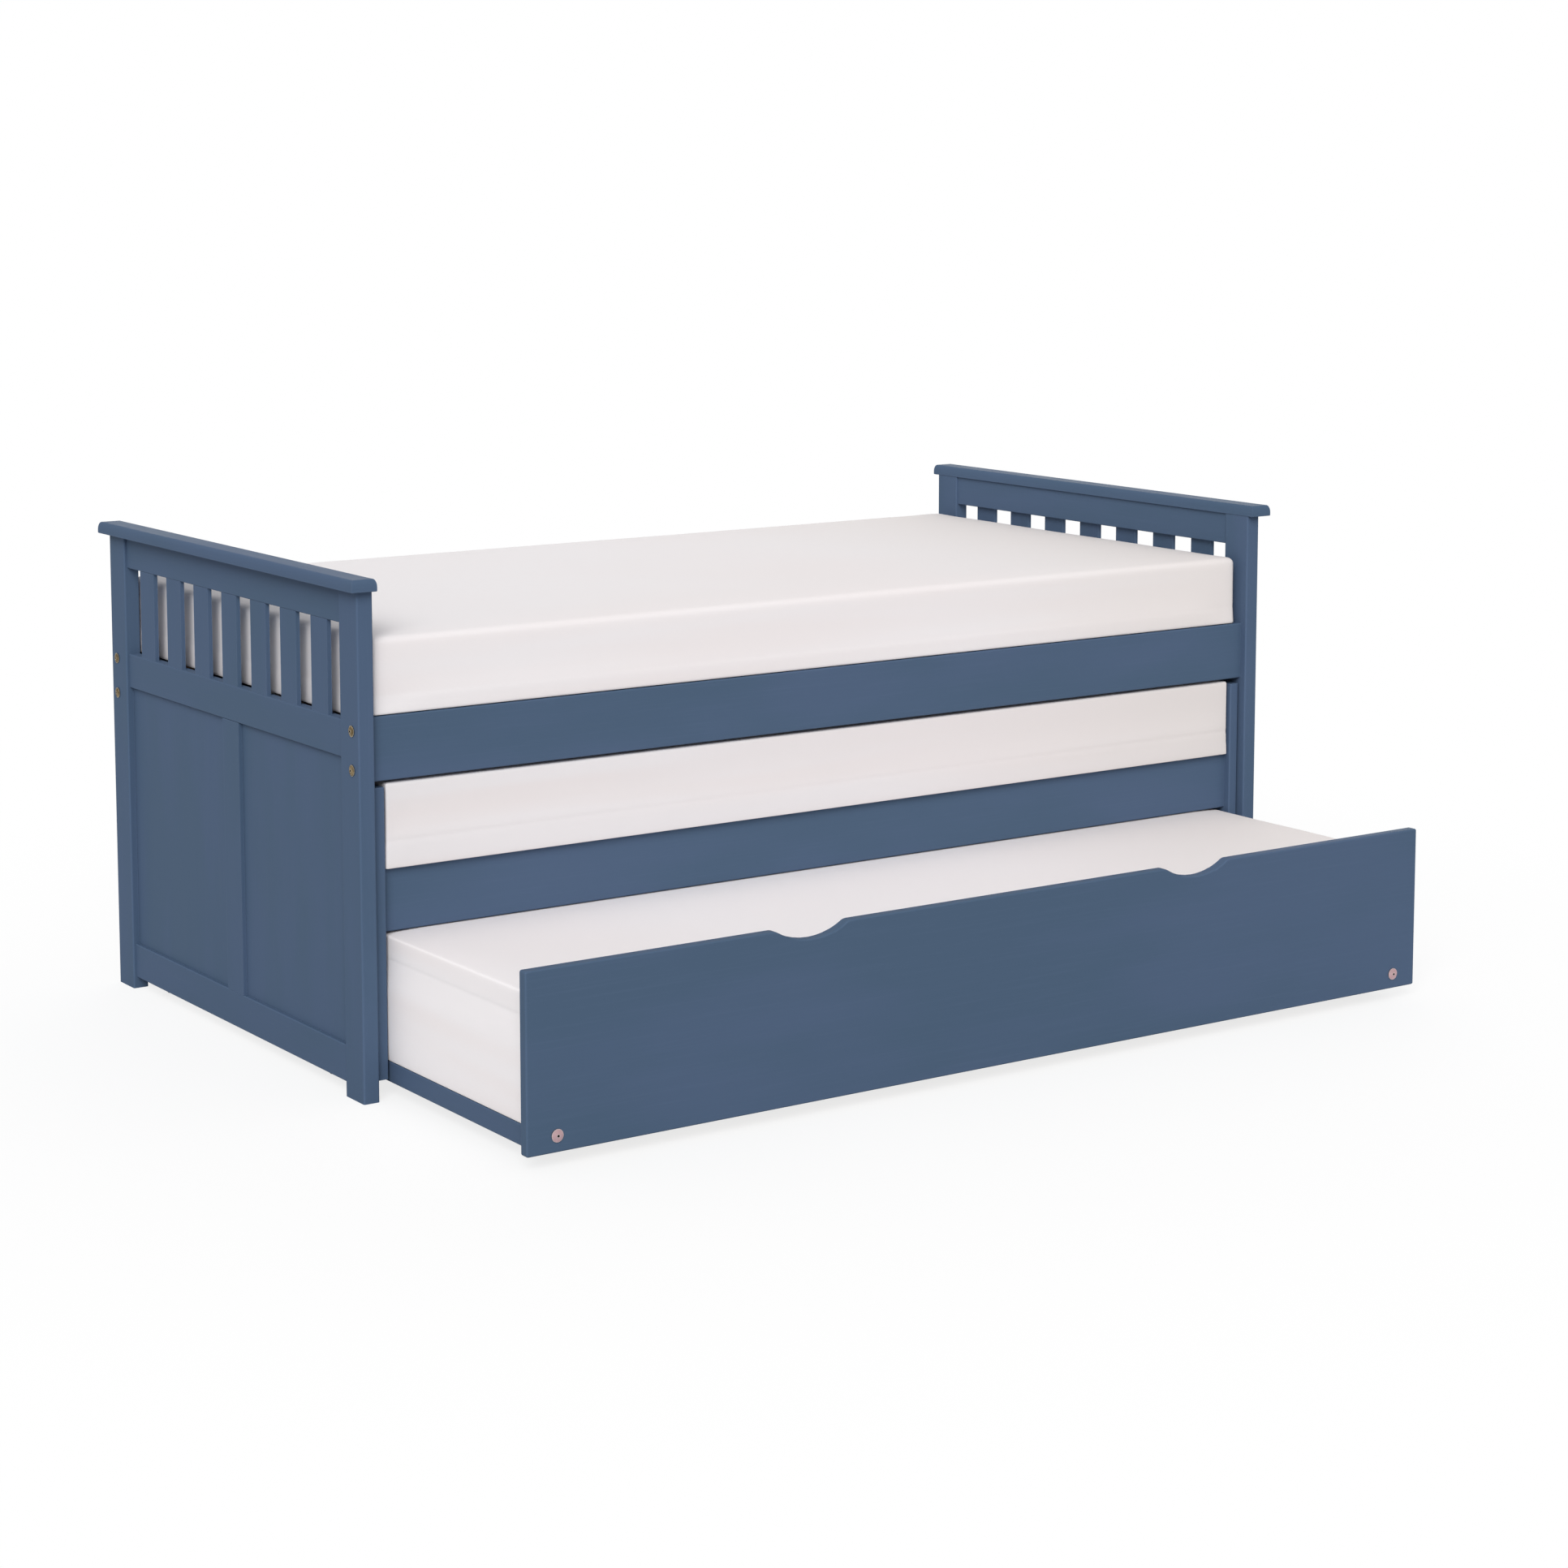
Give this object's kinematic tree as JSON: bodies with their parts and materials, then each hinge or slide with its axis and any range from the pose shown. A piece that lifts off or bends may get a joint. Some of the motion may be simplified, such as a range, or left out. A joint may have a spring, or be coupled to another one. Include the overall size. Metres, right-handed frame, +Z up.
{
  "type": "trundle bed",
  "caption": "Painted three-tier trundle bed: slatted and panelled end boards, a pull-out middle bed on legs and a low roll-out trundle, each with a mattress.",
  "frame": {"origin": "on the floor, under the middle of the whole object's box with the trundle drawn half out", "axes": "+X along the bed towards the headboard, -Y towards the front, where the lower beds pull out, +Z up"},
  "size_m": [2.053, 1.5331, 0.9005],
  "materials": {
    "painted_wood": "satin blue-grey paint",
    "mattress_cover": "plain matt white ticking",
    "deck_pine": "unfinished planed pine",
    "bed_bolt_bronze": "antique bronze, satin",
    "trundle_screw_metal": "plated, satin",
    "zinc_steel": "zinc plated",
    "wheel_nylon": "black nylon"
  },
  "bodies": {
    "main_bed": {"bed_barrel_nuts": "zinc_steel", "bed_bolts": "bed_bolt_bronze", "footboard_bottom_rail": "painted_wood", "footboard_cap": "painted_wood", "footboard_middle_rail": "painted_wood", "footboard_mullion": "painted_wood", "footboard_panels": "painted_wood", "footboard_post_back": "painted_wood", "footboard_post_front": "painted_wood", "footboard_slats": "painted_wood", "footboard_upper_rail": "painted_wood", "headboard_bottom_rail": "painted_wood", "headboard_cap": "painted_wood", "headboard_middle_rail": "painted_wood", "headboard_mullion": "painted_wood", "headboard_panels": "painted_wood", "headboard_post_back": "painted_wood", "headboard_post_front": "painted_wood", "headboard_slats": "painted_wood", "headboard_upper_rail": "painted_wood", "main_cleats": "deck_pine", "main_deck_boards": "deck_pine", "main_mattress": "mattress_cover", "main_rail_back": "painted_wood", "main_rail_front": "painted_wood"},
    "middle_bed": {"middle_barrel_nuts": "zinc_steel", "middle_bolts": "zinc_steel", "middle_caster_axles": "zinc_steel", "middle_caster_brackets": "zinc_steel", "middle_cleats": "deck_pine", "middle_deck_boards": "deck_pine", "middle_end_rail_left": "painted_wood", "middle_end_rail_right": "painted_wood", "middle_foot_rail_left": "painted_wood", "middle_foot_rail_right": "painted_wood", "middle_leg_back_left": "painted_wood", "middle_leg_back_right": "painted_wood", "middle_leg_front_left": "painted_wood", "middle_leg_front_right": "painted_wood", "middle_mattress": "mattress_cover", "middle_rail_back": "painted_wood", "middle_rail_front": "painted_wood"},
    "trundle": {"trundle_back_rail": "painted_wood", "trundle_bearers": "deck_pine", "trundle_caster_axles": "zinc_steel", "trundle_caster_brackets": "zinc_steel", "trundle_deck_boards": "deck_pine", "trundle_front_board": "painted_wood", "trundle_ledgers": "deck_pine", "trundle_mattress": "mattress_cover", "trundle_screws": "trundle_screw_metal", "trundle_side_rails": "painted_wood"},
    "middle_wheel_front_left": {"middle_wheel_front_left": "wheel_nylon"},
    "middle_wheel_front_right": {"middle_wheel_front_right": "wheel_nylon"},
    "middle_wheel_back_left": {"middle_wheel_back_left": "wheel_nylon"},
    "middle_wheel_back_right": {"middle_wheel_back_right": "wheel_nylon"},
    "trundle_wheel_front_left": {"trundle_wheel_front_left": "wheel_nylon"},
    "trundle_wheel_front_right": {"trundle_wheel_front_right": "wheel_nylon"},
    "trundle_wheel_back_left": {"trundle_wheel_back_left": "wheel_nylon"},
    "trundle_wheel_back_right": {"trundle_wheel_back_right": "wheel_nylon"}
  },
  "joints": [
    {"name": "middle_bed_slide", "type": "slide", "parent": "main_bed", "child": "middle_bed", "axis": [0, -1, 0], "range_m": [0, 0.99]},
    {"name": "trundle_slide", "type": "slide", "parent": "middle_bed", "child": "trundle", "axis": [0, -1, 0], "range_m": [-0.483, 0.507]},
    {"name": "middle_wheel_front_left_spin", "type": "hinge", "parent": "middle_bed", "child": "middle_wheel_front_left", "pos_m": [-0.965, -0.0674, 0.0125], "axis": [1, 0, 0], "continuous": true},
    {"name": "middle_wheel_front_right_spin", "type": "hinge", "parent": "middle_bed", "child": "middle_wheel_front_right", "pos_m": [0.965, -0.0674, 0.0125], "axis": [1, 0, 0], "continuous": true},
    {"name": "middle_wheel_back_left_spin", "type": "hinge", "parent": "middle_bed", "child": "middle_wheel_back_left", "pos_m": [-0.965, 0.6166, 0.0125], "axis": [1, 0, 0], "continuous": true},
    {"name": "middle_wheel_back_right_spin", "type": "hinge", "parent": "middle_bed", "child": "middle_wheel_back_right", "pos_m": [0.965, 0.6166, 0.0125], "axis": [1, 0, 0], "continuous": true},
    {"name": "trundle_wheel_front_left_spin", "type": "hinge", "parent": "trundle", "child": "trundle_wheel_front_left", "pos_m": [-0.65373, -0.5524, 0.0125], "axis": [1, 0, 0], "continuous": true},
    {"name": "trundle_wheel_front_right_spin", "type": "hinge", "parent": "trundle", "child": "trundle_wheel_front_right", "pos_m": [0.65373, -0.5524, 0.0125], "axis": [1, 0, 0], "continuous": true},
    {"name": "trundle_wheel_back_left_spin", "type": "hinge", "parent": "trundle", "child": "trundle_wheel_back_left", "pos_m": [-0.65373, 0.1026, 0.0125], "axis": [1, 0, 0], "continuous": true},
    {"name": "trundle_wheel_back_right_spin", "type": "hinge", "parent": "trundle", "child": "trundle_wheel_back_right", "pos_m": [0.65373, 0.1026, 0.0125], "axis": [1, 0, 0], "continuous": true}
  ],
  "couplings": [
    {"joint": "middle_wheel_front_left_spin", "follows": "middle_bed_slide", "rad_per_m": 80},
    {"joint": "middle_wheel_front_right_spin", "follows": "middle_bed_slide", "rad_per_m": 80},
    {"joint": "middle_wheel_back_left_spin", "follows": "middle_bed_slide", "rad_per_m": 80},
    {"joint": "middle_wheel_back_right_spin", "follows": "middle_bed_slide", "rad_per_m": 80},
    {"joint": "trundle_wheel_front_left_spin", "follows": "trundle_slide", "rad_per_m": 80},
    {"joint": "trundle_wheel_front_right_spin", "follows": "trundle_slide", "rad_per_m": 80},
    {"joint": "trundle_wheel_back_left_spin", "follows": "trundle_slide", "rad_per_m": 80},
    {"joint": "trundle_wheel_back_right_spin", "follows": "trundle_slide", "rad_per_m": 80}
  ]
}
